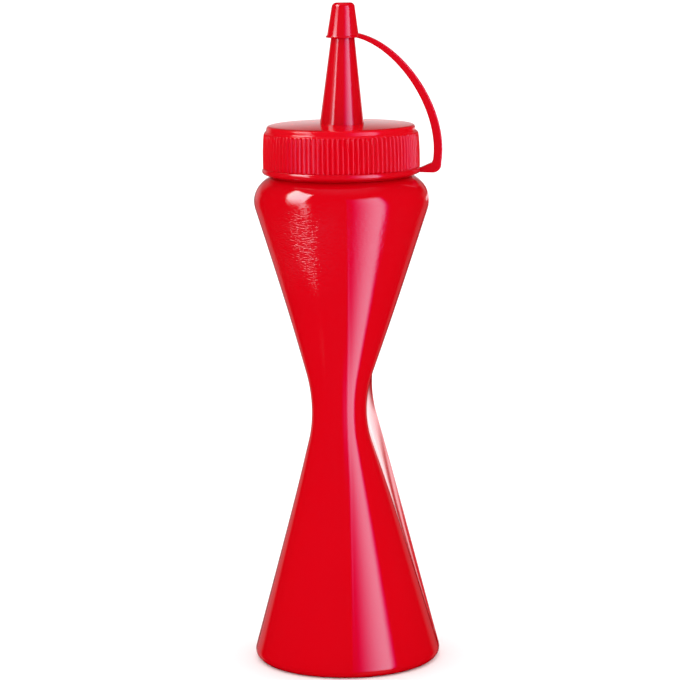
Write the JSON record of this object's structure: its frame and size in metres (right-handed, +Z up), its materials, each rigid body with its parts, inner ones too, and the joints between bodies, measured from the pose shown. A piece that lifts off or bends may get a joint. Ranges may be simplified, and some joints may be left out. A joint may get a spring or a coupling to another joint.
{
  "type": "squeeze bottle",
  "caption": "Soft plastic squeeze bottle with a pinched waist, a ribbed screw cap with a tapered nozzle, and a small tip cap held by a curved strap.",
  "frame": {"origin": "centre of the flat base, on the surface it stands on", "axes": "+Z up along the bottle, -Y the front, where the pinched outline is seen, +X toward the strap of the tip cap"},
  "size_m": [0.0679, 0.069, 0.2318],
  "materials": {
    "bottle": "glossy red, softly rippled as blown plastic is",
    "screw_cap": "smooth satin-gloss red",
    "tip_cap": "smooth satin-gloss red"
  },
  "bodies": {
    "root": {"bottle": "bottle", "screw_cap": "screw_cap", "tip_cap": "tip_cap"}
  },
  "joints": []
}
